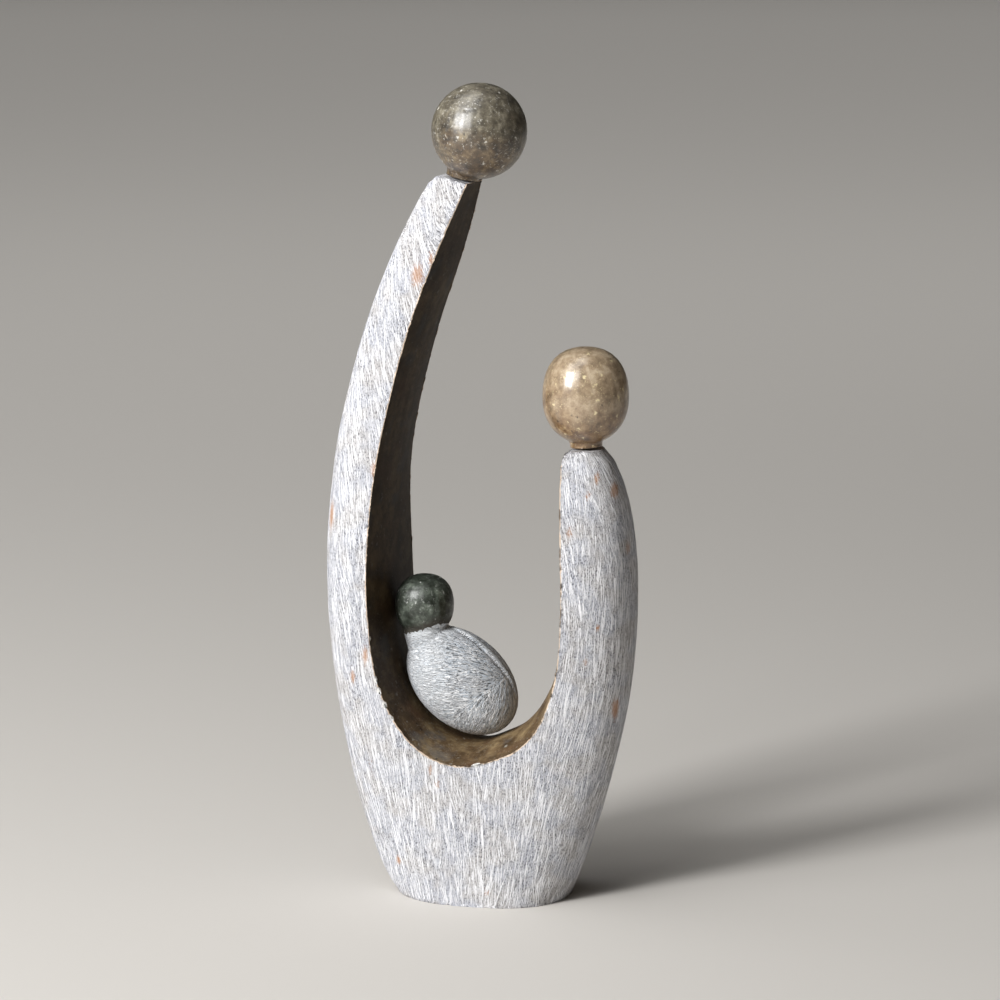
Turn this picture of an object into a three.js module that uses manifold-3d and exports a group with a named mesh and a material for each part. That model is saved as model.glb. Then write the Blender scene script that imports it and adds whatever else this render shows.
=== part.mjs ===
// Stone family: a mother and a father carved as the two arms of one standing
// U-shaped stone, a ball of stone for each of their heads, and a wrapped baby
// resting in the hollow between them.
//
// Millimetres. +Z is up, +X runs from the father's arm to the mother's and
// -Y is the front. The origin is the middle of the flat underside.

import * as THREE from 'three';
import { mergeVertices } from 'three/addons/utils/BufferGeometryUtils.js';
import Module from 'manifold-3d';

const wasm = await Module();
wasm.setup();

const { clamp, degToRad, lerp, smoothstep } = THREE.MathUtils;

// Driving sizes

const FOOT_HALF_DEPTH = 22.7;
const BLANK_TOP = 240;         // the blank runs on past the father's tip and is cut back
const EDGE_SQUARENESS = 2.25;  // of a level section: 2 is an ellipse, more is squarer
const SEAT_GAP = 0.3;          // left free between two pieces that touch

// The father's seat falls from its rounded outer corner to its inner edge.
const TIP = { x: -13.2, z: 233.2, fall: 13, rounding: 4, innerEdge: -3.9 };
// The mother's seat is level, and her neck is lifted off it on the right.
const MOTHER_SEAT = { x: 33.2, z: 147.3, innerEdge: 27.2, rounding: 2.6, lift: 4 };
const NECK = { radius: 5.2, height: 4.6, flare: 1.9 };

const FATHER_HEAD = { x: -1.95, z: 247.15, radius: 15.3, seat: -7.6, seatRise: 0.2 };
const MOTHER_HEAD = {
  x: 32.9, widest: 163.6, top: 179.6, bottom: 148.7, radius: 13.85, crown: 2.4, chin: 2.15,
};

// The middle of the hollow, and how far its floor swells above the front rim.
const HOLLOW = { x: -2.5, z: 80, swell: 3.9, swellGrowth: 0.07, floorBottom: 50 };
// The block that is cut away reaches past the blank on every side.
const CUT = { left: -40, right: 70, top: 270, halfLength: 30 };

const BABY_Y = 0.8;
const BABY_BODY = { x: -8, z: 68.8, long: 20.8, across: 14.8, deep: 13.6, slope: 40.5 };
const BABY_HEAD = { x: -20.6, z: 93.3, wide: 9.35, tall: 10, squareness: 2.3 };
const BABY_NECK = { x: -20.05, z: 85, radius: 7.4, height: 9.5, lean: 14 };
const WRAP_EDGE = { turn: 15, bow: 20, crest: -3, proud: 0.6, grooveWidth: 0.6, ends: 0.8 };
// Its turn is from the top of the body towards the front, most at the crest.

// A smooth curve through a few [height, value] points, read at any height.
function through(points) {
  const last = points.length - 1;
  const slopes = points.map((point, i) => {
    const before = points[Math.max(i - 1, 0)];
    const after = points[Math.min(i + 1, last)];
    return (after[1] - before[1]) / (after[0] - before[0]);
  });
  return (height) => {
    let i = 0;
    while (i < last - 1 && height > points[i + 1][0]) {
      i += 1;
    }
    const span = points[i + 1][0] - points[i][0];
    const t = clamp((height - points[i][0]) / span, 0, 1);
    const rise = t * t * (3 - 2 * t);
    const bow = slopes[i] * t * (1 - t) ** 2 - slopes[i + 1] * t * t * (1 - t);
    return lerp(points[i][1], points[i + 1][1], rise) + span * bow;
  };
}

// A closed solid from a library shape, with every corner moved by bend().
function solid(shape, bend = () => {}) {
  shape.deleteAttribute('normal');
  shape.deleteAttribute('uv');
  const joined = mergeVertices(shape, 1e-5);
  const corners = joined.attributes.position;
  const corner = new THREE.Vector3();
  for (let i = 0; i < corners.count; i += 1) {
    corner.fromBufferAttribute(corners, i);
    bend(corner);
    corners.setXYZ(i, corner.x, corner.y, corner.z);
  }
  const triangles = [];
  for (let i = 0; i < joined.index.count; i += 3) {
    const face = [0, 1, 2].map((k) => joined.index.getX(i + k));
    if (new Set(face).size === 3) {
      triangles.push(...face);
    }
  }
  return new wasm.Manifold(new wasm.Mesh({
    numProp: 3,
    vertProperties: Float32Array.from(corners.array),
    triVerts: Uint32Array.from(triangles),
  }));
}

// The parents' stone

// Each arm by height: its back is the outline seen from the front, its depth is half
// the thickness, its crest is where a level section is thickest. The hollow's wall
// leans across it by so much a millimetre and swells by so many millimetres, and the
// swelling of the floor has died away at its floor top.
const FATHER = {
  back: through([[0, -28.5], [2.5, -30.8], [10, -35.1], [30, -42.3], [60, -48.8], [85, -51.7],
    [108, -52.4], [130, -51.1], [150, -48.3], [170, -43.6], [190, -37.5], [210, -29.4],
    [228, -20.1], [BLANK_TOP, -12.5]]),
  depth: through([[0, FOOT_HALF_DEPTH], [20, 21.6], [46, 20.6], [80, 20], [110, 19], [137, 16],
    [162, 14], [204, 12.2], [220, 10.4], [232, 7], [BLANK_TOP, 5]]),
  crest: through([[0, -2], [40, -3], [70, -18], [100, -29], [140, -30], [186, -20], [220, -8],
    [BLANK_TOP, 0]]),
  lean: through([[45, 0], [95, 0.12], [135, 0.1], [165, 0.12], [200, 0.15], [220, 0.12],
    [BLANK_TOP, 0.04]]),
  swell: through([[100, 1], [190, 1], [225, 0], [BLANK_TOP, 0]]),
  floorTop: 105,
};
const MOTHER = {
  back: through([[0, 28.4], [5, 30.6], [17, 35.1], [40, 41.9], [62, 46.8], [82, 49.3], [101, 50],
    [116, 49.2], [130, 46.9], [140, 43.8], [145, 41.1], [150, 36.8], [BLANK_TOP, 15]]),
  depth: through([[0, FOOT_HALF_DEPTH], [20, 21.6], [46, 20.6], [80, 20], [108, 18.4],
    [126, 15.6], [138, 12], [144.5, 8.8], [150, 5.6], [BLANK_TOP, 4]]),
  crest: through([[0, 2], [40, 3], [70, 16], [100, 27], [130, 31], [147, 33], [BLANK_TOP, 10]]),
  lean: () => 0,
  swell: through([[100, 1.8], [135, 1.4], [147, 0], [BLANK_TOP, 0]]),
  floorTop: 84,
};

// The uncut stone: an upright bar whose level sections are rounded to the two backs.
function blank() {
  const around = 44;
  const levels = 40;
  const crowding = 1.2;  // puts more levels near the foot, where the outline turns fast
  const bar = new THREE.CylinderGeometry(1, 1, 1, around, levels, false, Math.PI / around);
  bar.rotateX(Math.PI / 2).translate(0, 0, 0.5);
  return solid(bar, (corner) => {
    const height = BLANK_TOP * Math.max(corner.z, 0) ** crowding;
    const arm = corner.x > 0 ? MOTHER : FATHER;
    const crest = arm.crest(height);
    const outward = Math.abs(corner.x) ** (2 / EDGE_SQUARENESS);
    const forward = Math.abs(corner.y) ** (2 / EDGE_SQUARENESS);
    corner.set(
      lerp(crest, arm.back(height), outward),
      Math.sign(corner.y) * forward * arm.depth(height),
      height,
    );
  });
}

// What is cut away: the hollow, and all that stands above the two seats. Its outline is
// the front rim, and the wall behind the rim swells towards the middle of the hollow.
function cutaway() {
  const outline = new THREE.Shape();
  const rim = [[-8.7, 219.3], [-14.8, 204.1], [-21.2, 186.5], [-27.6, 162.9], [-32.4, 137.2],
    [-34.4, 111], [-34, 92], [-32.2, 75], [-27.9, 62.6], [-20.9, 53.2], [-12.9, 47.8],
    [-2.9, 45.7], [7, 48.1], [16.9, 52.9], [23.7, 61.9], [28.2, 77.5], [29.5, 97], [29, 113],
    [27.9, 130], [27.2, 142.5]];
  const { x, z, rounding, innerEdge } = TIP;
  const slope = Math.tan(degToRad(TIP.fall));
  outline.moveTo(CUT.left, z - 2.5 * rounding);
  outline.lineTo(x - rounding, z - 0.5 * rounding);
  outline.quadraticCurveTo(x - 0.6 * rounding, z + 0.125 * rounding, x, z);
  outline.lineTo(innerEdge, z - (innerEdge - x) * slope);
  outline.splineThru(rim.map(([rimX, rimZ]) => new THREE.Vector2(rimX, rimZ)));
  const seat = MOTHER_SEAT;
  outline.quadraticCurveTo(seat.innerEdge, seat.z, seat.innerEdge + seat.rounding, seat.z);
  outline.lineTo(CUT.right, seat.z);
  outline.lineTo(CUT.right, CUT.top);
  outline.lineTo(CUT.left, CUT.top);
  const bar = new THREE.ExtrudeGeometry(outline, {
    depth: 2 * CUT.halfLength,
    steps: 10,
    curveSegments: 3,
    bevelEnabled: false,
  });
  bar.rotateX(Math.PI / 2).translate(0, CUT.halfLength, 0);
  const mostFall = 1.5;  // how far, in swells, the wall falls away beyond the stone's own depth
  return solid(bar, (corner) => {
    const arm = corner.x > HOLLOW.x ? MOTHER : FATHER;
    const depth = arm.depth(corner.z);
    const floor = 1 - smoothstep(corner.z, HOLLOW.floorBottom, arm.floorTop);
    const floorSwell = HOLLOW.swell + HOLLOW.swellGrowth * Math.max(corner.x - HOLLOW.x, 0);
    const swell = lerp(arm.swell(corner.z), floorSwell, floor);
    const fallen = Math.min((corner.y / depth) ** 2, mostFall);
    const inward = new THREE.Vector2(HOLLOW.x - corner.x, Math.max(HOLLOW.z - corner.z, 0));
    inward.setLength(arm.lean(corner.z) * (corner.y + depth) + swell * (1 - fallen));
    corner.x += inward.x;
    corner.z += inward.y;
  });
}

// The heads

// A short round neck, standing on its seat and spreading into the ball above it.
function neck(x, z, lean) {
  const { radius, height, flare } = NECK;
  const spread = [[0, 0], [0, 0.2], [0.25, 0.5], [1, 0.85]];  // [share of flare, share of height]
  const side = spread.map(([wider, higher]) => [radius + wider * flare, higher * height]);
  const profile = [[0, 0], ...side, [0, height]];
  const stub = new THREE.LatheGeometry(profile.map(([r, h]) => new THREE.Vector2(r, h)), 24);
  stub.rotateX(Math.PI / 2).rotateY(degToRad(lean)).translate(x, 0, z);
  return solid(stub);
}

function fatherHead() {
  const { x, z, radius, seat, seatRise } = FATHER_HEAD;
  const fall = degToRad(TIP.fall);
  const seatHeight = TIP.z - (seat - TIP.x) * Math.tan(fall) + seatRise;
  const ball = solid(new THREE.SphereGeometry(radius, 30, 20).rotateX(Math.PI / 2).translate(x, 0, z));
  return ball.add(neck(
    seat + SEAT_GAP * Math.sin(fall),
    seatHeight + SEAT_GAP * Math.cos(fall),
    TIP.fall,
  ));
}

function motherHead() {
  const { x, widest, top, bottom, radius, crown, chin } = MOTHER_HEAD;
  const ball = solid(new THREE.SphereGeometry(1, 30, 20).rotateX(Math.PI / 2), (corner) => {
    const fullness = corner.z > 0 ? crown : chin;
    const level = Math.hypot(corner.x, corner.y);
    const scale = (level ** fullness + Math.abs(corner.z) ** fullness) ** (-1 / fullness);
    const tall = corner.z > 0 ? top - widest : widest - bottom;
    corner.multiplyScalar(scale);
    corner.set(x + radius * corner.x, radius * corner.y, widest + tall * corner.z);
  });
  const rise = NECK.radius * Math.sin(degToRad(MOTHER_SEAT.lift)) * 0.6;
  return ball.add(neck(MOTHER_SEAT.x, MOTHER_SEAT.z + SEAT_GAP + rise, -MOTHER_SEAT.lift));
}

// The baby

// The wrapped body is an egg lying on a slope, its narrow way from the neck down to the
// far end. One edge of the wrap runs along it as a low ridge with a groove in front.
function babyBody() {
  const { x, z, long, across, deep } = BABY_BODY;
  const slope = degToRad(BABY_BODY.slope);
  const toNeck = new THREE.Vector3(-Math.cos(slope), 0, Math.sin(slope));
  const toSky = new THREE.Vector3(Math.sin(slope), 0, Math.cos(slope));
  return solid(new THREE.SphereGeometry(1, 36, 22), (corner) => {
    const along = corner.y;
    const edge = degToRad(WRAP_EDGE.turn - WRAP_EDGE.bow * (along - WRAP_EDGE.crest / long) ** 2);
    const level = Math.hypot(corner.x, corner.z);
    const turn = Math.atan2(corner.z, corner.x) / Math.PI;
    const past = Math.sign(turn) * Math.PI * Math.abs(turn) ** 1.5;  // crowds columns at the edge
    const way = past * across;
    const groove = Math.exp(-(((way - 0.5) / WRAP_EDGE.grooveWidth) ** 2));
    const ridge = Math.exp(-((way + 1) ** 2)) - 0.5 * groove;
    const shown = 1 - smoothstep(Math.abs(along), WRAP_EDGE.ends, 1);
    const swell = 1 + WRAP_EDGE.proud * ridge * shown / across;
    corner.set(x, BABY_Y - deep * level * swell * Math.sin(edge + past), z);
    corner.addScaledVector(toSky, across * level * swell * Math.cos(edge + past));
    corner.addScaledVector(toNeck, long * along);
  });
}

function baby() {
  const { wide, tall, squareness } = BABY_HEAD;
  const head = solid(new THREE.SphereGeometry(1, 24, 16).rotateX(Math.PI / 2), (corner) => {
    const reach = [corner.x, corner.y, corner.z].reduce((sum, c) => sum + Math.abs(c) ** squareness, 0);
    corner.multiplyScalar(reach ** (-1 / squareness));
    corner.set(BABY_HEAD.x + wide * corner.x, BABY_Y + wide * corner.y, BABY_HEAD.z + tall * corner.z);
  });
  const { radius, height, lean } = BABY_NECK;
  const collar = new THREE.CylinderGeometry(radius, radius, height, 24).rotateX(Math.PI / 2);
  collar.rotateY(-degToRad(lean)).translate(BABY_NECK.x, BABY_Y, BABY_NECK.z);
  return babyBody().add(solid(collar)).add(head);
}

// The pieces

function piece(name, body, color, roughness) {
  const { vertProperties, triVerts } = body.getMesh();
  const geometry = new THREE.BufferGeometry();
  geometry.setAttribute('position', new THREE.BufferAttribute(vertProperties, 3));
  geometry.setIndex(new THREE.BufferAttribute(triVerts, 1));
  geometry.computeVertexNormals();
  const finish = new THREE.MeshStandardMaterial({ color, roughness, metalness: 0 });
  const mesh = new THREE.Mesh(geometry, finish);
  mesh.name = name;
  return mesh;
}

const group = new THREE.Group();
group.add(
  piece('parents_body', blank().subtract(cutaway()), 0xd9d9da, 0.85),
  piece('father_head', fatherHead(), 0x6f6a5c, 0.35),
  piece('mother_head', motherHead(), 0x9a8568, 0.3),
  piece('baby', baby(), 0xb9bdbe, 0.7),
);

export default group;
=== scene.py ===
import math

import bmesh
import bpy
import numpy as np
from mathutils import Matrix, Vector, bvhtree, kdtree, noise


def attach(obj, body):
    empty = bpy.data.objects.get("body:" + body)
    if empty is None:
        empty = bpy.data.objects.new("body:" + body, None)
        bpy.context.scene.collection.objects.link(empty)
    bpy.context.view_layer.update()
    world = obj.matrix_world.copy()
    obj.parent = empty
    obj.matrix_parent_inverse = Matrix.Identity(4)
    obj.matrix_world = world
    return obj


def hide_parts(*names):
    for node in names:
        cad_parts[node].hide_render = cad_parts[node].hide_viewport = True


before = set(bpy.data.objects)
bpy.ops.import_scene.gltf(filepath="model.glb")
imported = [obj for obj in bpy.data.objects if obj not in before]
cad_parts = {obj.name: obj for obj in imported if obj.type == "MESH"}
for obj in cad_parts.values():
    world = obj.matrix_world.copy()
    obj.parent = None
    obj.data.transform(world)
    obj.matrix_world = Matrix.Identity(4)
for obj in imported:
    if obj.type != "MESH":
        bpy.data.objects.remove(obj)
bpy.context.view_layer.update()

# The parents' bodies: one upright U of soft grey soapstone, sawn to its outline and
# rasped all over, which leaves white strokes of stone dust. Only the hollow between the
# two arms is sanded fine and waxed, so the stone's own dark olive brown shows there.

MM = 0.001
BODY_NET = 0.78        # mm between the net's points
SHARP_EDGE = 38        # degrees between two faces of the solid
SNAP_REACH = 0.62      # of the net's spacing, within which a point is drawn on to an edge
HOLLOW_FLOOR = (-2.5, 0, 49)
POLISH_STOPS = 143     # mm up the mother's arm
UNEVENNESS = 0.14      # mm that a face rubbed flat by hand strays from true
STROKE_DEPTH = 0.035   # mm
NIBBLE_REACH = 0.8     # mm to either side of the rim
NIBBLE_DEPTH = 0.5     # mm
RUST_REACH = 2.6       # mm into the stone
# How far the strokes lean for each mm up, at some heights in mm, on either side.
LEAN_ON_LEFT = ([0, 35, 75, 190, 232], [-0.7, -0.5, -0.15, -0.2, -0.65])
LEAN_ON_RIGHT = ([0, 30, 80, 110, 147], [0.6, 0.45, 0.1, -0.1, -0.35])


def own_net(node, name, spacing):
    """A piece that starts as a node's solid, remade as an even net of small faces."""
    solid = bmesh.new()
    solid.from_mesh(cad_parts[node].data)
    bmesh.ops.remove_doubles(solid, verts=solid.verts, dist=0.01 * MM)
    mesh = bpy.data.meshes.new(name)
    solid.to_mesh(mesh)
    piece = bpy.data.objects.new(name, mesh)
    bpy.context.scene.collection.objects.link(piece)
    net = piece.modifiers.new("even_net", "REMESH")
    net.mode = "VOXEL"
    net.voxel_size = spacing * MM
    depsgraph = bpy.context.evaluated_depsgraph_get()
    piece.data = bpy.data.meshes.new_from_object(piece.evaluated_get(depsgraph))
    piece.data.name = name
    piece.modifiers.clear()
    return piece, solid


def read(mesh, what, width):
    """One value of every point of a mesh, as rows; places come in millimetres."""
    values = np.empty(len(mesh.vertices) * width, np.float32)
    if what == "co":
        mesh.vertices.foreach_get("co", values)
        return values.reshape(-1, width).astype(float) / MM
    mesh.vertex_normals.foreach_get("vector", values)
    return values.reshape(-1, width).astype(float)


def write(mesh, points):
    mesh.vertices.foreach_set("co", (points * MM).astype(np.float32).ravel())
    mesh.update()


def store(mesh, name, values):
    kind = "FLOAT" if values.ndim == 1 else "FLOAT_VECTOR"
    field = "value" if values.ndim == 1 else "vector"
    attribute = mesh.attributes.new(name, kind, "POINT")
    attribute.data.foreach_set(field, values.astype(np.float32).ravel())


def edge_points(solid, chosen):
    """Points every 0.2 mm along some of a solid's edges."""
    points = []
    for edge in solid.edges:
        if chosen(edge):
            start, end = (corner.co / MM for corner in edge.verts)
            steps = max(int((end - start).length / 0.2), 1)
            points += [start.lerp(end, k / steps) for k in range(steps + 1)]
    return points


def nearest(places, points):
    """For each point, how far the nearest place is, and that place."""
    tree = kdtree.KDTree(len(places))
    for k, place in enumerate(places):
        tree.insert(place, k)
    tree.balance()
    found = [tree.find(point) for point in points]
    return np.array([f[2] for f in found]), np.array([f[0] for f in found])


def fair(mesh, points, free, rounds):
    """Draws each point towards its neighbours and back, which takes out facets but no size."""
    pairs = np.empty(len(mesh.edges) * 2, np.int32)
    mesh.edges.foreach_get("vertices", pairs)
    pairs = pairs.reshape(-1, 2)
    held = free <= 0
    both = held[pairs[:, 0]] == held[pairs[:, 1]]
    pairs = pairs[both | ~held[pairs].all(1)]
    ends = np.concatenate([pairs, pairs[:, ::-1]])
    ends = ends[~(held[ends[:, 0]] & ~held[ends[:, 1]])]
    count = np.maximum(np.bincount(ends[:, 0], minlength=len(points)), 1)
    for turn in range(2 * rounds):
        share = 0.5 if turn % 2 == 0 else -0.515
        for axis in range(3):
            total = np.bincount(ends[:, 0], points[ends[:, 1], axis], len(points))
            points[:, axis] += share * free * (total / count - points[:, axis])
    return points


def waves(points, seed):
    """Smooth noise from -1 to 1 at each point, one wave for each unit of length."""
    shift = Vector((17.3 * seed, 5.1 * seed, 11.9 * seed))
    return np.array([noise.noise(Vector(p) + shift) for p in points])


def streaks(points, way, pitch, length, seed):
    """Noise drawn out along each point's own way, as strokes so many mm apart and long."""
    steps = np.linspace(-0.5, 0.5, 9) * length
    return sum(waves((points + way * step) / pitch, seed) for step in steps) / 3.5


def along_surface(way, outward):
    """The ways, laid down flat on the surface and brought to a length of one."""
    flat = way - (way * outward).sum(1)[:, None] * outward
    return flat / np.maximum(np.linalg.norm(flat, axis=1), 1e-3)[:, None]


body, body_solid = own_net("parents_body", "parents_stone", BODY_NET)
mesh = body.data
points = read(mesh, "co", 3)

# The hollow's faces are those that join on to its floor without a sharp edge.
sharp = math.radians(SHARP_EDGE)
body_tree = bvhtree.BVHTree.FromBMesh(body_solid)
body_solid.faces.ensure_lookup_table()
first = body_tree.find_nearest(Vector(HOLLOW_FLOOR) * MM)[2]
waiting, hollow = [body_solid.faces[first]], {first}
while waiting:
    face = waiting.pop()
    for edge in face.edges:
        if edge.calc_face_angle(0) < sharp:
            for other in edge.link_faces:
                if other.index not in hollow:
                    hollow.add(other.index)
                    waiting.append(other)


def on_rim(edge):
    sides = [face.index in hollow for face in edge.link_faces]
    return len(sides) == 2 and sides[0] != sides[1]


all_edges = edge_points(body_solid, lambda edge: edge.calc_face_angle(0) > sharp)
gap, place = nearest(all_edges, points)
snapped = gap < SNAP_REACH * BODY_NET
points[snapped] = place[snapped]
# Where the net still cuts a corner off, its nearest loose point is drawn out to the edge.
pinned, loose = kdtree.KDTree(len(points)), kdtree.KDTree(len(points))
for k, point in enumerate(points):
    (pinned if snapped[k] else loose).insert(point, k)
pinned.balance()
loose.balance()
for place in all_edges[::2]:
    _, k, gap = loose.find(place)
    if pinned.find(place)[2] > 0.45 * BODY_NET and gap < 1.3 * BODY_NET and not snapped[k]:
        points[k] = place
        snapped[k] = True
free = np.where(snapped, 0.0, 1.0)
points = fair(mesh, points, free, 60)
write(mesh, points)
outward = read(mesh, "normal", 3)

rim_gap, _ = nearest(edge_points(body_solid, on_rim), points)
inside = np.array([body_tree.find_nearest(Vector(p) * MM)[2] in hollow for p in points])
rim = np.where(inside & (rim_gap > 0.25), rim_gap, -rim_gap)
rim[points[:, 0] > 0] = np.minimum(rim, POLISH_STOPS - points[:, 2])[points[:, 0] > 0]

# Low down the strokes follow the outline, then they run nearly straight up, and high on
# either arm they lean to the left.
height = points[:, 2]
rightward = np.clip((points[:, 0] + 50) / 98, 0, 1)
lean = (1 - rightward) * np.interp(height, *LEAN_ON_LEFT)
lean += rightward * np.interp(height, *LEAN_ON_RIGHT)
way = along_surface(np.stack([lean, 0 * lean, 0 * lean + 1], axis=1), outward)

rough = np.clip(-rim / 1.5, 0, 1)
relief = UNEVENNESS * waves(points / 22, 1) - UNEVENNESS
relief += rough * STROKE_DEPTH * (streaks(points, way, 1.8, 14, 2)
                                  + streaks(points, way, 6, 40, 3) - 1)

# Small chips all along the rim, and a few larger ones low on the father's side and at the
# lowest point, each with its place, its width, its height and its depth in mm.
CHIPS = [(-31.4, -19, 72, 1, 1.2, 0.5), (-30.2, -19, 68.4, 1.1, 1.2, 0.6),
         (-28.4, -19.2, 64, 1.3, 1.5, 0.7), (-25.9, -19.4, 60.2, 1, 1.1, 0.5),
         (2.6, -20.5, 46.5, 2, 0.8, 0.1), (-32.6, -18.6, 85.4, 0.8, 1, 0.4)]
near = np.exp(-((rim / NIBBLE_REACH) ** 2)) * (points[:, 1] < 0)
nibble = np.clip(waves(points / 2.1, 4) - 0.15, 0, 1)
chip = NIBBLE_DEPTH * near * nibble
broken = 0 * chip
for x, y, z, wide, high, depth in CHIPS:
    far = np.linalg.norm((points - [x, y, z]) / [wide, wide, high], axis=1)
    ragged = np.exp(-far ** 2) * (0.8 + 0.7 * waves(points / 1.1, 5))
    chip += depth * ragged
    broken += ragged
chip *= rim < 0.9
carved = points + outward * ((relief - chip) * (outward[:, 2] > -0.7))[:, None]
carved[:, 2] = np.maximum(carved[:, 2], 0)
write(mesh, carved)

# Where iron in the stone has rusted: each place, half its width, half its height and how
# strong its colour is.
RUST = [(-19.1, -12, 202.3, 2.2, 4, 1), (-14.5, -11.9, 207.3, 0.9, 3, 1),
        (-32.2, -15.7, 139.8, 1.6, 3, 1), (-48.7, -10.2, 123.3, 1.8, 5, 1),
        (39, -9.7, 139.3, 0.9, 2.5, 0.8), (44.1, -6.3, 135.3, 1.4, 3, 1),
        (36.9, -12.6, 134.2, 1.1, 2, 0.6), (31.8, -16.2, 122.7, 1.2, 2.5, 0.6),
        (48.4, -5.4, 116.7, 1, 2.5, 0.6), (-35.1, -18.4, 79.4, 1.2, 3.2, 0.9),
        (-40.1, -15.9, 71.8, 1, 2.6, 0.9), (-34.6, -17, 43.1, 1.3, 3, 0.5),
        (45.2, -8.2, 64.7, 1.4, 4, 1), (37.4, -16.9, 81.5, 0.8, 1.6, 0.6),
        (-13, -20.3, 43.8, 0.8, 2, 0.7), (-10.6, -20.6, 39.1, 0.9, 2.2, 0.7),
        (-24.6, -17.4, 12.4, 1.1, 1.6, 1), (6.4, -20.9, 5, 1, 1.4, 0.9),
        (41.1, -15.7, 92.5, 0.7, 1, 0.9), (-20, 16, 60, 1.5, 4, 0.8),
        (30, 17, 95, 1.3, 3, 0.8), (6, 21, 25, 1.6, 3, 0.7), (-42, 12, 120, 1.3, 4, 0.9)]
rust = 0 * chip
for x, y, z, half_width, half_height, strength in RUST:
    off = (points - [x, y, z]) / [half_width, RUST_REACH, half_height]
    rust = np.maximum(rust, strength * np.exp(-(off ** 2).sum(1)))

store(mesh, "rim", rim)
store(mesh, "way", way)
store(mesh, "outward", outward)
store(mesh, "broken", broken)
store(mesh, "rust", rust)
for face in mesh.polygons:
    face.use_smooth = True


def colour(hexcode):
    """An sRGB hex value as the linear colour that a shader takes."""
    channels = [int(hexcode[k:k + 2], 16) / 255 for k in (1, 3, 5)]
    linear = [c / 12.92 if c <= 0.04045 else ((c + 0.055) / 1.055) ** 2.4 for c in channels]
    return (*linear, 1)


def add(material, kind, inputs, **settings):
    """Adds a node: an input that is a socket is linked, and any other is set."""
    tree = material.node_tree
    new = tree.nodes.new("ShaderNode" + kind)
    for key, value in settings.items():
        setattr(new, key, value)
    for key, value in inputs.items():
        if isinstance(value, bpy.types.NodeSocket):
            tree.links.new(value, new.inputs[key])
        else:
            new.inputs[key].default_value = value
    return new


def stone_material(name):
    material = bpy.data.materials.new(name)
    material.use_nodes = True
    return material, material.node_tree.nodes["Principled BSDF"]


def rasp_pass(material, seed, patch, turn, width, length):
    """One going-over with the rasp: ragged patches of side-by-side strokes, each patch
    turned a little its own way. Sizes are in mm: a patch's width and height, a stroke's
    width and length. The turn is in radians."""
    place = add(material, "TexCoord", {}).outputs["Object"]
    way = add(material, "Attribute", {}, attribute_name="way").outputs["Vector"]
    facing = add(material, "Attribute", {}, attribute_name="outward").outputs["Vector"]
    spread = add(material, "Mapping", {
        "Vector": place, "Location": (3.7 * seed, 1.9 * seed, 5.3 * seed),
        "Scale": (1000 / patch[0], 1000 / patch[0], 1000 / patch[1])}).outputs[0]
    blur = add(material, "TexNoise", {"Vector": spread, "Scale": 3, "Detail": 2})
    torn = add(material, "VectorMath", {0: blur.outputs["Color"], 1: (0.5,) * 3, 2: spread},
               operation="MULTIPLY_ADD").outputs[0]
    patches = add(material, "TexVoronoi", {"Vector": torn, "Scale": 1, "Randomness": 1})
    offset = add(material, "VectorMath", {0: spread, 1: patches.outputs["Position"]},
                 operation="SUBTRACT").outputs[0]
    local = add(material, "VectorMath", {0: offset, 1: (patch[0], patch[0], patch[1])},
                operation="MULTIPLY").outputs[0]
    beside = add(material, "VectorMath", {0: facing, 1: way}, operation="CROSS_PRODUCT")
    across = add(material, "VectorMath", {0: local, 1: beside.outputs[0]},
                 operation="DOT_PRODUCT").outputs["Value"]
    along = add(material, "VectorMath", {0: local, 1: way},
                operation="DOT_PRODUCT").outputs["Value"]
    lot = add(material, "SeparateColor", {0: patches.outputs["Color"]}).outputs["Red"]
    swing = add(material, "MapRange", {"Value": lot, "To Min": -turn, "To Max": turn}).outputs[0]
    turned = add(material, "Math", {0: along, 1: swing, 2: across}, operation="MULTIPLY_ADD")
    flat = add(material, "CombineXYZ", {0: turned.outputs[0], 1: along})
    jump = add(material, "VectorMath", {0: patches.outputs["Color"], "Scale": 41.0},
               operation="SCALE")
    fine = add(material, "VectorMath", {0: flat.outputs[0], 1: (1 / width, 1 / length, 0),
                                        2: jump.outputs[0]}, operation="MULTIPLY_ADD")
    return add(material, "TexNoise", {"Vector": fine.outputs[0], "Scale": 1, "Detail": 1,
                                      "Roughness": 0.4}).outputs["Fac"]


def step(material, value, low, high):
    """Nought below one value and one above another, or the other way round."""
    return add(material, "MapRange", {"Value": value, "From Min": low, "From Max": high},
               interpolation_type="SMOOTHSTEP").outputs[0]


def stone_position(material, scale):
    """Object coordinates in steps of so many mm."""
    place = add(material, "TexCoord", {}).outputs["Object"]
    return add(material, "Mapping", {"Vector": place, "Scale": (1 / (scale * MM),) * 3}).outputs[0]


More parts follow.
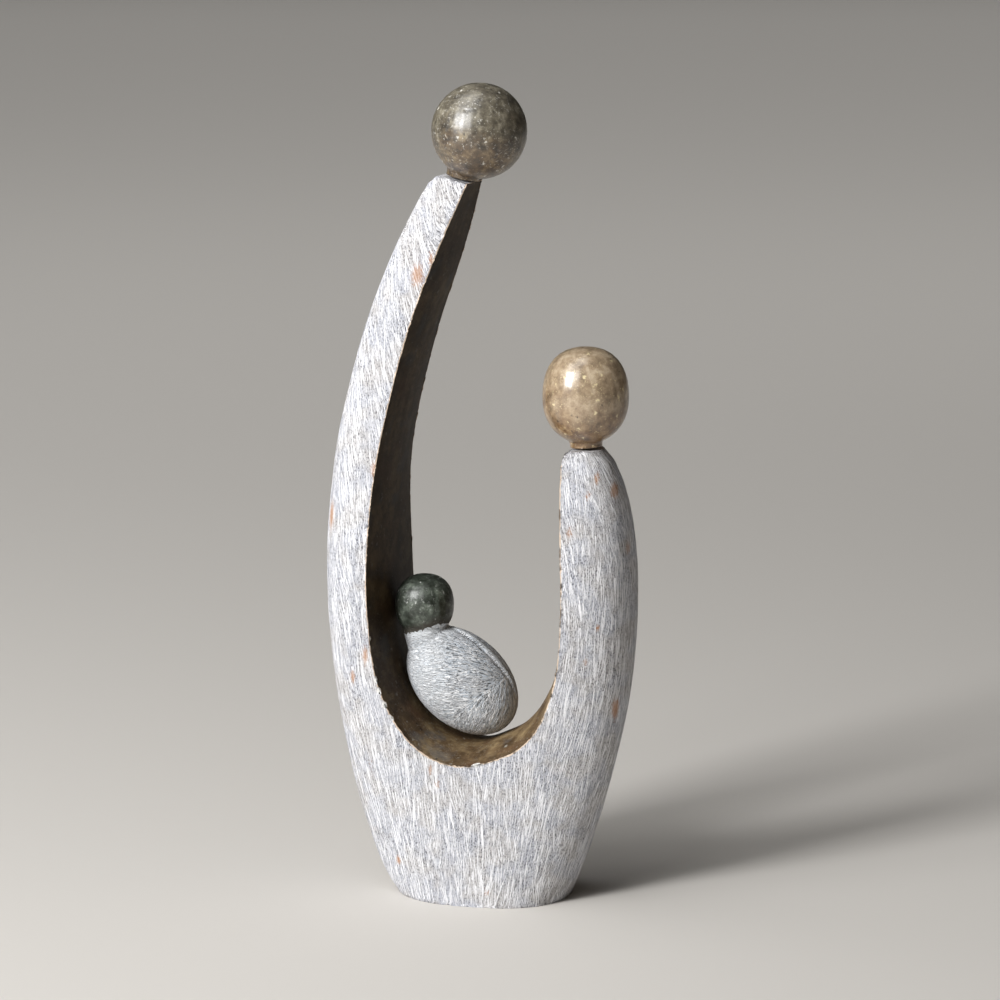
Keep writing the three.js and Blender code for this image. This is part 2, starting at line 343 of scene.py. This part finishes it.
def rasped_soapstone(material, patch, width, length, pit_length, shades):
    """The colour and height of rasped stone: bare stone with dark pits, and white dust along
    the strokes that cross it. The size of a patch, the width and length of a stroke and the
    length of a pit are in mm. The shades are of dust, stone, pits and more tinted stone."""
    strokes = step(material, rasp_pass(material, 1, (0.6 * patch, 2 * patch), 0.06, width,
                                         length), 0.48, 0.64)
    crossing = step(material, rasp_pass(material, 2, (0.45 * patch, 1.1 * patch), 0.16,
                                        0.85 * width, 0.4 * length), 0.54, 0.68)
    scratches = step(material, rasp_pass(material, 3, (0.6 * patch, 1.4 * patch), 0.3,
                                         1.3 * width, 2 * length), 0.63, 0.69)
    pits = step(material, rasp_pass(material, 4, (0.45 * patch, 0.85 * patch), 0.15,
                                    1.2 * width, pit_length), 0.49, 0.36)
    white = add(material, "Math", {0: strokes, 1: crossing}, operation="MAXIMUM").outputs[0]
    worn = add(material, "TexNoise", {"Vector": stone_position(material, 14), "Scale": 1,
                                      "Detail": 3, "Roughness": 0.6}).outputs["Fac"]
    wear = add(material, "MapRange", {"Value": worn, "From Min": 0.3, "From Max": 0.7,
                                      "To Min": 0.35, "To Max": 1}).outputs[0]
    dark_pits = add(material, "Math", {0: pits, 1: wear}, operation="MULTIPLY").outputs[0]
    dust, bare, dark, tint = (colour(shade) for shade in shades)
    zones = add(material, "TexNoise", {"Vector": stone_position(material, 9), "Scale": 1,
                                       "Detail": 2}).outputs["Fac"]
    tinted = add(material, "MixRGB", {"Fac": step(material, zones, 0.42, 0.62), "Color1": bare,
                                      "Color2": tint}).outputs[0]
    ground = add(material, "MixRGB", {"Fac": dark_pits, "Color1": tinted,
                                      "Color2": dark}).outputs[0]
    covered = add(material, "Math", {0: white, 1: 0.8, 2: scratches}, operation="MULTIPLY_ADD",
                  use_clamp=True).outputs[0]
    rasped = add(material, "MixRGB", {"Fac": covered, "Color1": ground,
                                      "Color2": dust}).outputs[0]
    lowered = add(material, "Math", {0: pits, 1: -0.8, 2: covered}, operation="MULTIPLY_ADD")
    return rasped, lowered.outputs[0]


def cloudy_stone(material, tones, speck, pit, scale, flecks):
    """The colour of polished stone: three tones in clouds so many mm wide, with flecks of
    some strength, pale specks and dark pits."""
    cloud = add(material, "TexNoise", {"Vector": stone_position(material, scale), "Scale": 1,
                                       "Detail": 8, "Roughness": 0.72}).outputs["Fac"]
    tone = add(material, "ValToRGB", {"Fac": cloud})
    tone.color_ramp.elements.new(0.5)
    for element, place, shade in zip(tone.color_ramp.elements, (0.34, 0.5, 0.66), tones):
        element.position, element.color = place, colour(shade)
    grains = add(material, "TexNoise", {"Vector": stone_position(material, 0.75), "Scale": 1,
                                        "Detail": 3, "Roughness": 0.7}).outputs["Fac"]
    lots = add(material, "TexNoise", {"Vector": stone_position(material, 5), "Scale": 1,
                                      "Detail": 2}).outputs["Fac"]
    fleck = add(material, "Math", {0: step(material, grains, 0.56, 0.68),
                                   1: step(material, lots, 0.35, 0.6)}, operation="MULTIPLY")
    fleck = add(material, "Math", {0: fleck.outputs[0], 1: flecks}, operation="MULTIPLY").outputs[0]
    mix = add(material, "MixRGB", {"Fac": fleck, "Color1": tone.outputs["Color"],
                                   "Color2": colour(speck)}).outputs[0]
    for size, share, shade, strength in ((2.8, 0.3, speck, 0.8), (1.5, 0.14, speck, 0.6),
                                         (2.1, 0.2, pit, 0.8)):
        place = stone_position(material, size)
        blur = add(material, "TexNoise", {"Vector": place, "Scale": 3.2, "Detail": 2})
        ragged = add(material, "VectorMath", {0: blur.outputs["Color"], 1: (0.7,) * 3,
                                              2: place}, operation="MULTIPLY_ADD").outputs[0]
        cells = add(material, "TexVoronoi", {"Vector": ragged, "Scale": 1, "Randomness": 1})
        chance = add(material, "SeparateColor", {0: cells.outputs["Color"]}).outputs["Green"]
        chosen = add(material, "Math", {0: chance, 1: share}, operation="LESS_THAN").outputs[0]
        grown = add(material, "MapRange", {"Value": cells.outputs["Distance"],
                                           "From Min": 0.1, "From Max": 0.24,
                                           "To Min": strength, "To Max": 0}).outputs[0]
        dot = add(material, "Math", {0: chosen, 1: grown}, operation="MULTIPLY").outputs[0]
        mix = add(material, "MixRGB", {"Fac": dot, "Color1": mix,
                                       "Color2": colour(shade)}).outputs[0]
    return mix


# Soapstone with both finishes. Rasped, it scatters light like chalk and shows pale streaks;
# waxed, it is dark and clouded with a soft low sheen.
body_stone, shader = stone_material("rasped_and_waxed_soapstone")
rasped, height = rasped_soapstone(body_stone, 13, 0.28, 8, 0.62,
                                  ("#FCFCFF", "#B9BBC4", "#45484F", "#BDBABA"))
rusted = add(body_stone, "Attribute", {}, attribute_name="rust").outputs["Fac"]
streaky = add(body_stone, "Math", {0: height, 1: -0.25, 2: rusted}, operation="MULTIPLY_ADD")
iron = add(body_stone, "Math", {0: step(body_stone, streaky.outputs[0], 0.15, 0.85), 1: 0.7},
           operation="MULTIPLY").outputs[0]
rasped = add(body_stone, "MixRGB", {"Fac": iron, "Color1": rasped,
                                    "Color2": colour("#C08A5E")}).outputs[0]
broken = add(body_stone, "Attribute", {}, attribute_name="broken").outputs["Fac"]
fresh = step(body_stone, broken, 0.2, 0.5)
rasped = add(body_stone, "MixRGB", {"Fac": fresh, "Color1": rasped,
                                    "Color2": colour("#F3F2EE")}).outputs[0]
waxed = cloudy_stone(body_stone, ("#3A2B1B", "#635039", "#94805F"), "#A19D92", "#1B130B", 9,
                     0.5)
warmth = add(body_stone, "TexNoise", {"Vector": stone_position(body_stone, 11), "Scale": 1,
                                      "Detail": 4}).outputs["Fac"]
for shade, low, high, most in (("#6E4A30", 0.52, 0.68, 0.3), ("#59626A", 0.44, 0.32, 0.4)):
    patch = add(body_stone, "Math", {0: step(body_stone, warmth, low, high), 1: most},
                operation="MULTIPLY").outputs[0]
    waxed = add(body_stone, "MixRGB", {"Fac": patch, "Color1": waxed,
                                       "Color2": colour(shade)}).outputs[0]
# Painted shade: higher up the hollow the waxed stone is darkened to near-black brown, starting
# lower on the father's side than on the mother's.
place = add(body_stone, "TexCoord", {}).outputs["Object"]
level = add(body_stone, "SeparateXYZ", {0: place})
up_wall = add(body_stone, "Math", {0: level.outputs["X"], 1: -1.3, 2: level.outputs["Z"]},
              operation="MULTIPLY_ADD").outputs[0]
painted_wall_shade = add(body_stone, "Math", {0: step(body_stone, up_wall, 0.065, 0.115), 1: 0.72},
             operation="MULTIPLY").outputs[0]
waxed = add(body_stone, "MixRGB", {"Fac": painted_wall_shade, "Color1": waxed,
                                   "Color2": colour("#1C130A")}).outputs[0]
rim_way = add(body_stone, "Attribute", {}, attribute_name="rim").outputs["Fac"]
ragged = add(body_stone, "TexNoise", {"Vector": stone_position(body_stone, 2.6), "Scale": 1,
                                      "Detail": 5, "Roughness": 0.6}).outputs["Fac"]
bite = add(body_stone, "MapRange", {"Value": ragged, "From Min": 0.3, "From Max": 0.7,
                                    "To Min": 0.1, "To Max": -0.45}).outputs[0]
edge = add(body_stone, "Math", {0: rim_way, 1: bite}, operation="ADD").outputs[0]
edge = add(body_stone, "Math", {0: fresh, 1: -3, 2: edge}, operation="MULTIPLY_ADD").outputs[0]
polished = step(body_stone, edge, -0.08, 0.08)
rubbed = step(body_stone, edge, -0.75, -0.4)
dusty_edge = add(body_stone, "MixRGB", {"Fac": rubbed, "Color1": rasped,
                                        "Color2": colour("#EBD6C0")}).outputs[0]
both_finishes = add(body_stone, "MixRGB", {"Fac": polished, "Color1": dusty_edge,
                                           "Color2": waxed}).outputs[0]
roughness = add(body_stone, "MapRange", {"Value": polished, "To Min": 0.92,
                                         "To Max": 0.5}).outputs[0]
strength = add(body_stone, "MapRange", {"Value": polished, "To Min": 0.8,
                                        "To Max": 0.02}).outputs[0]
bump = add(body_stone, "Bump", {"Height": height, "Strength": strength,
                                "Distance": 0.14 * MM}).outputs[0]
links = body_stone.node_tree.links
links.new(both_finishes, shader.inputs["Base Color"])
links.new(roughness, shader.inputs["Roughness"])
links.new(bump, shader.inputs["Normal"])
shader.inputs["IOR"].default_value = 1.5
shader.inputs["Specular IOR Level"].default_value = 0.15
mesh.materials.clear()
mesh.materials.append(body_stone)
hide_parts("parents_body")
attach(body, "root")

# The parents' heads: two balls of other soapstones, turned by hand, each left with a short
# neck stub, sanded through the grits and waxed to a soft shine. They are glued on.

HEAD_NET = 0.42          # mm between the net's points
HEAD_UNEVENNESS = 0.08   # mm that a ball rubbed down by hand strays from round
PIT_DEPTH = 0.5          # mm


def waxed_head(node, name, seed):
    """A head's fine net: faired, and a little uneven, as a ball rubbed down by hand is."""
    piece, solid = own_net(node, name, HEAD_NET)
    points = read(piece.data, "co", 3)
    edges = edge_points(solid, lambda edge: edge.calc_face_angle(0) > math.radians(30))
    gap, place = nearest(edges, points)
    held = gap < SNAP_REACH * HEAD_NET
    points[held] = place[held]
    points = fair(piece.data, points, np.where(held, 0.0, 1.0), 60)
    write(piece.data, points)
    normals = read(piece.data, "normal", 3)
    ball = np.clip(gap / 2, 0, 1)
    uneven = ball * (HEAD_UNEVENNESS * waves(points / 11, seed) - 0.07)
    pits = np.clip(waves(points / 1.5, seed + 1) - 0.52, 0, 1) * PIT_DEPTH * ball
    write(piece.data, points + normals * (uneven - pits)[:, None])
    store(piece.data, "low", 1 - (points[:, 2] - points[:, 2].min()) / np.ptp(points[:, 2]))
    solid.free()
    for face in piece.data.polygons:
        face.use_smooth = True
    return piece


def waxed_soapstone(name, upper, lower, speck, pit, roughness, scale):
    """Soapstone sanded through the grits and waxed, with other tones low down: browner, as the
    stone is, and darker, which is painted shade.
    It shows clouds and specks in depth, and the wax adds a thin sharper sheen over a broad soft
    one."""
    material, shader = stone_material(name)
    above = cloudy_stone(material, upper, speck, pit, scale, 0.55)
    below = cloudy_stone(material, lower, speck, pit, scale, 0.55)
    # Painted shade: towards the bottom the tones turn darker as well as browner.
    low = add(material, "Attribute", {}, attribute_name="low").outputs["Fac"]
    drift = add(material, "TexNoise", {"Vector": stone_position(material, 9), "Scale": 1,
                                       "Detail": 4}).outputs["Fac"]
    share = add(material, "Math", {0: low, 1: drift}, operation="ADD").outputs[0]
    mix = add(material, "MixRGB", {"Fac": step(material, share, 0.85, 1.3), "Color1": above,
                                   "Color2": below}).outputs[0]
    fine = add(material, "TexNoise", {"Vector": stone_position(material, 0.7), "Scale": 1,
                                      "Detail": 3}).outputs["Fac"]
    bump = add(material, "Bump", {"Height": fine, "Strength": 0.12,
                                  "Distance": 0.25 * MM}).outputs[0]
    links = material.node_tree.links
    links.new(mix, shader.inputs["Base Color"])
    links.new(bump, shader.inputs["Normal"])
    shader.inputs["Roughness"].default_value = roughness
    shader.inputs["IOR"].default_value = 1.52
    shader.inputs["Specular IOR Level"].default_value = 1
    shader.inputs["Coat Weight"].default_value = 0.35
    shader.inputs["Coat Roughness"].default_value = roughness - 0.1
    return material


father_head = waxed_head("father_head", "father_head_stone", 21)
father_head.data.materials.clear()
father_head.data.materials.append(waxed_soapstone(
    "waxed_grey_olive_soapstone", ("#403B32", "#6B6455", "#9B9482"),
    ("#261B10", "#5A4730", "#94805F"), "#F5F2E8", "#120D08", 0.38, 3.5))
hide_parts("father_head")
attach(father_head, "root")

mother_head = waxed_head("mother_head", "mother_head_stone", 31)
mother_head.data.materials.clear()
mother_head.data.materials.append(waxed_soapstone(
    "waxed_tan_soapstone", ("#7F6D58", "#AD977C", "#D0BEA3"),
    ("#553B22", "#816343", "#AA8C66"), "#F4E4B6", "#35230E", 0.28, 4))
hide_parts("mother_head")
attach(mother_head, "root")

# The baby: one small egg of dark green stone with its head carved on. The wrap is rasped in
# fine furrows, level on its upper left and steep low on its right, and has one folded edge.
# The head is sanded and waxed down to a scratched ring above the collar.

BABY_NET = 0.3
BABY_MIDDLE = np.array([-8, 0.8, 68.8])
BABY_SLOPE = math.radians(40.5)
BABY_LONG = 20.8
BABY_ACROSS = 14.8
WRAP_TURN = math.radians(15)     # of its edge, from the top of the body towards the front
WRAP_BOW = math.radians(20)
WRAP_CREST = -3                  # mm from the body's middle towards the neck
EDGE_REACH = 19.5                # mm from the body's middle that the folded edge shows
RIDGE_HEIGHT = 0.15              # mm, beside the folded edge
GROOVE_DEPTH = 0.45
FURROW_PITCH = 0.65              # mm from one rasped furrow to the next
FURROW_LENGTH = 5
FURROW_DEPTH = 0.06              # mm where they lie level, and twice that where steep
FAN_START = np.array([-10.3, 0, 57.7])
ACROSS_FAN = np.array([0.6, 0, -0.8])
NECK = np.array([-20.05, 0.8, 85])
NECK_LEAN = math.radians(14)
# How high up the neck the wrap reaches, at a few places from the left to the right.
COLLAR = ([-27, -20, -16, -14.5, -12, -9.5], [0.6, 1.1, 1.7, 2, 0.5, 0])

baby, baby_solid = own_net("baby", "baby_stone", BABY_NET)
mesh = baby.data
points = fair(mesh, read(mesh, "co", 3), np.ones(len(mesh.vertices)), 90)
write(mesh, points)
outward = read(mesh, "normal", 3)
baby_solid.free()

to_neck = np.array([-math.cos(BABY_SLOPE), 0, math.sin(BABY_SLOPE)])
to_sky = np.array([math.sin(BABY_SLOPE), 0, math.cos(BABY_SLOPE)])
from_middle = points - BABY_MIDDLE
along = from_middle @ to_neck
up_neck = np.array([-math.sin(NECK_LEAN), 0, math.cos(NECK_LEAN)])
wrap = np.interp(points[:, 0], *COLLAR) - (points - NECK) @ up_neck

# A band 6 mm wide lies between the level furrows and the steep ones.
past_fan = (points - FAN_START) @ ACROSS_FAN
share = np.clip((past_fan + 3) / 6, 0, 1)
steep = math.radians(2) + math.radians(68) * share * share * (3 - 2 * share)
way = along_surface(np.stack([np.cos(steep), 0 * steep, np.sin(steep)], axis=1), outward)

rough = np.clip(wrap / 0.6, 0, 1)
relief = rough * (FURROW_DEPTH + FURROW_DEPTH * share) * (
    streaks(points, way, FURROW_PITCH, FURROW_LENGTH, 7) - 1)
wrap_edge = WRAP_TURN - WRAP_BOW * ((along - WRAP_CREST) / BABY_LONG) ** 2
turn = np.arctan2(-from_middle[:, 1], from_middle @ to_sky) - wrap_edge
edge_way = turn * BABY_ACROSS
shown = np.clip((EDGE_REACH - np.abs(along)) / 6, 0, 1)
groove = np.exp(-((edge_way - 0.45) / 0.3) ** 2)
ridge = np.exp(-((edge_way + 0.9) / 0.7) ** 2)
relief += shown * rough * (RIDGE_HEIGHT * ridge - GROOVE_DEPTH * groove)
write(mesh, points + outward * relief[:, None])
store(mesh, "way", way)
store(mesh, "outward", outward)
store(mesh, "wrap", wrap)
store(mesh, "ridge", shown * ridge)
for face in mesh.polygons:
    face.use_smooth = True

# Green serpentine with both finishes: dull silver-grey furrows where it is rasped, and a
# near-black green with a soft sheen where it is waxed.
baby_stone, shader = stone_material("rasped_and_waxed_green_serpentine")
rasped, height = rasped_soapstone(baby_stone, 3.4, 0.27, 4.5, 2.4,
                                  ("#FCFDFF", "#BCC4CD", "#141A20", "#BABDC2"))
on_ridge = add(baby_stone, "Attribute", {}, attribute_name="ridge").outputs["Fac"]
smooth_ridge = step(baby_stone, on_ridge, 0.45, 0.75)
rasped = add(baby_stone, "MixRGB", {"Fac": smooth_ridge, "Color1": rasped,
                                    "Color2": colour("#B6B9BB")}).outputs[0]
green = cloudy_stone(baby_stone, ("#1C2018", "#3D433B", "#6C7469"), "#DDE0DA", "#0D0D09", 3.5,
                     0.35)
wrap_way = add(baby_stone, "Attribute", {}, attribute_name="wrap").outputs["Fac"]
ragged = add(baby_stone, "TexNoise", {"Vector": stone_position(baby_stone, 1.1), "Scale": 1,
                                      "Detail": 3}).outputs["Fac"]
torn = add(baby_stone, "MapRange", {"Value": ragged, "From Min": 0.3, "From Max": 0.7,
                                    "To Min": -0.5, "To Max": 0.5}).outputs[0]
edge = add(baby_stone, "Math", {0: wrap_way, 1: torn}, operation="ADD").outputs[0]
wrapped = step(baby_stone, edge, -0.1, 0.1)
# Whiter along the collar, where the rasped edge is frayed, and whiter over the left half of the
# baby, which is painted light.
place = add(baby_stone, "TexCoord", {}).outputs["Object"]
sideways = add(baby_stone, "SeparateXYZ", {0: place}).outputs["X"]
drift = add(baby_stone, "Math", {0: ragged, 1: 0.008, 2: sideways}, operation="MULTIPLY_ADD")
painted_light_left = add(baby_stone, "Math", {0: step(baby_stone, drift.outputs[0], -0.005, -0.0085),
                                1: 0.35}, operation="MULTIPLY").outputs[0]
frayed_edge_and_painted_light = add(baby_stone, "Math", {0: step(baby_stone, edge, 3.2, 0.6), 1: 0.65, 2: painted_light_left},
             operation="MULTIPLY_ADD", use_clamp=True).outputs[0]
rasped = add(baby_stone, "MixRGB", {"Fac": frayed_edge_and_painted_light, "Color1": rasped,
                                    "Color2": colour("#EEF2F6")}).outputs[0]
scuffed = step(baby_stone, edge, -3.4, -0.4)
scuffs = add(baby_stone, "Math", {0: scuffed, 1: 0.75}, operation="MULTIPLY").outputs[0]
neck_stone = add(baby_stone, "MixRGB", {"Fac": scuffs, "Color1": green,
                                        "Color2": colour("#403830")}).outputs[0]
both_finishes = add(baby_stone, "MixRGB", {"Fac": wrapped, "Color1": neck_stone,
                                           "Color2": rasped}).outputs[0]
dull = add(baby_stone, "Math", {0: scuffed, 1: 0.45, 2: 0.38}, operation="MULTIPLY_ADD")
strength = add(baby_stone, "MapRange", {"Value": wrapped, "To Min": 0.02,
                                        "To Max": 0.8}).outputs[0]
bump = add(baby_stone, "Bump", {"Height": height, "Strength": strength,
                                "Distance": 0.42 * MM}).outputs[0]
links = baby_stone.node_tree.links
links.new(both_finishes, shader.inputs["Base Color"])
links.new(dull.outputs[0], shader.inputs["Roughness"])
links.new(bump, shader.inputs["Normal"])
shader.inputs["Specular IOR Level"].default_value = 0.6
mesh.materials.clear()
mesh.materials.append(baby_stone)
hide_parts("baby")
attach(baby, "root")

# The studio: a plain pale floor of matt paper, soft lights high on the left and overhead, a
# weak warm fill from the right, a wide lamp for the floor behind, and the camera a little to
# the right of the front and above it.

floor_shape = bmesh.new()
bmesh.ops.create_grid(floor_shape, x_segments=1, y_segments=1, size=12)
floor_mesh = bpy.data.meshes.new("studio_floor")
floor_shape.to_mesh(floor_mesh)
floor_shape.free()
floor = bpy.data.objects.new("studio_floor", floor_mesh)
bpy.context.scene.collection.objects.link(floor)
paper, shader = stone_material("matt_paper")
shader.inputs["Base Color"].default_value = colour("#D9D5CF")
shader.inputs["Roughness"].default_value = 0.9
floor_mesh.materials.append(paper)

TARGET = Vector((0.0048, 0, 0.129))
CAMERA_AZIMUTH = math.radians(15)
CAMERA_HEIGHT = math.radians(10.8)
CAMERA_DISTANCE = 1.4
backward = Vector((math.sin(CAMERA_AZIMUTH) * math.cos(CAMERA_HEIGHT),
                   -math.cos(CAMERA_AZIMUTH) * math.cos(CAMERA_HEIGHT),
                   math.sin(CAMERA_HEIGHT)))
rightward = Vector((math.cos(CAMERA_AZIMUTH), math.sin(CAMERA_AZIMUTH), 0))
upward = backward.cross(rightward)


def aim(thing, place):
    thing.location = place
    thing.rotation_euler = (TARGET - place).to_track_quat("-Z", "Y").to_euler()


def soft_light(name, side, up, front, distance, width, height, power):
    """An area light, placed by how far it is to the camera's right, above and in front."""
    lamp = bpy.data.lights.new(name, "AREA")
    lamp.shape = "RECTANGLE"
    lamp.size, lamp.size_y, lamp.energy = width, height, power
    light = bpy.data.objects.new(name, lamp)
    bpy.context.scene.collection.objects.link(light)
    way = (rightward * side + upward * up + backward * front).normalized()
    aim(light, TARGET + way * distance)
    return lamp


soft_light("window", -0.66, 0.34, 0.68, 1.5, 0.34, 0.7, 20.5)
soft_light("sky", -0.58, 0.52, 0.62, 1.6, 1.1, 1.1, 10)
soft_light("overhead", -0.3, 1, 0.2, 1.6, 1, 1, 7)
fill = soft_light("fill", 0.9, 0.4, 0.3, 2.2, 1.5, 1.5, 0.8)
fill.color = (1, 0.8, 0.62)

# This lamp shines straight down on the floor behind the stone, so that it looks even.
FAR_BEHIND, FAR_UP = 2.7, 1.5    # metres
far_lamp = bpy.data.lights.new("far_floor", "AREA")
far_lamp.shape = "RECTANGLE"
far_lamp.size, far_lamp.size_y, far_lamp.energy = 3, 3.5, 11
far_lamp.spread = math.radians(70)
far_light = bpy.data.objects.new("far_floor", far_lamp)
bpy.context.scene.collection.objects.link(far_light)
far_light.location = TARGET - backward * FAR_BEHIND
far_light.location.z = FAR_UP
far_light.rotation_euler = (0, 0, CAMERA_AZIMUTH)
bpy.context.scene.view_settings.view_transform = "Standard"

world = bpy.data.worlds.new("studio")
world.use_nodes = True
world.node_tree.nodes["Background"].inputs["Color"].default_value = colour("#D8D4CE")
world.node_tree.nodes["Background"].inputs["Strength"].default_value = 0.03
bpy.context.scene.world = world

lens = bpy.data.cameras.new("camera")
lens.lens = 157.5
lens.sensor_width = 36
camera = bpy.data.objects.new("camera", lens)
bpy.context.scene.collection.objects.link(camera)
aim(camera, TARGET + backward * CAMERA_DISTANCE)
bpy.context.scene.camera = camera
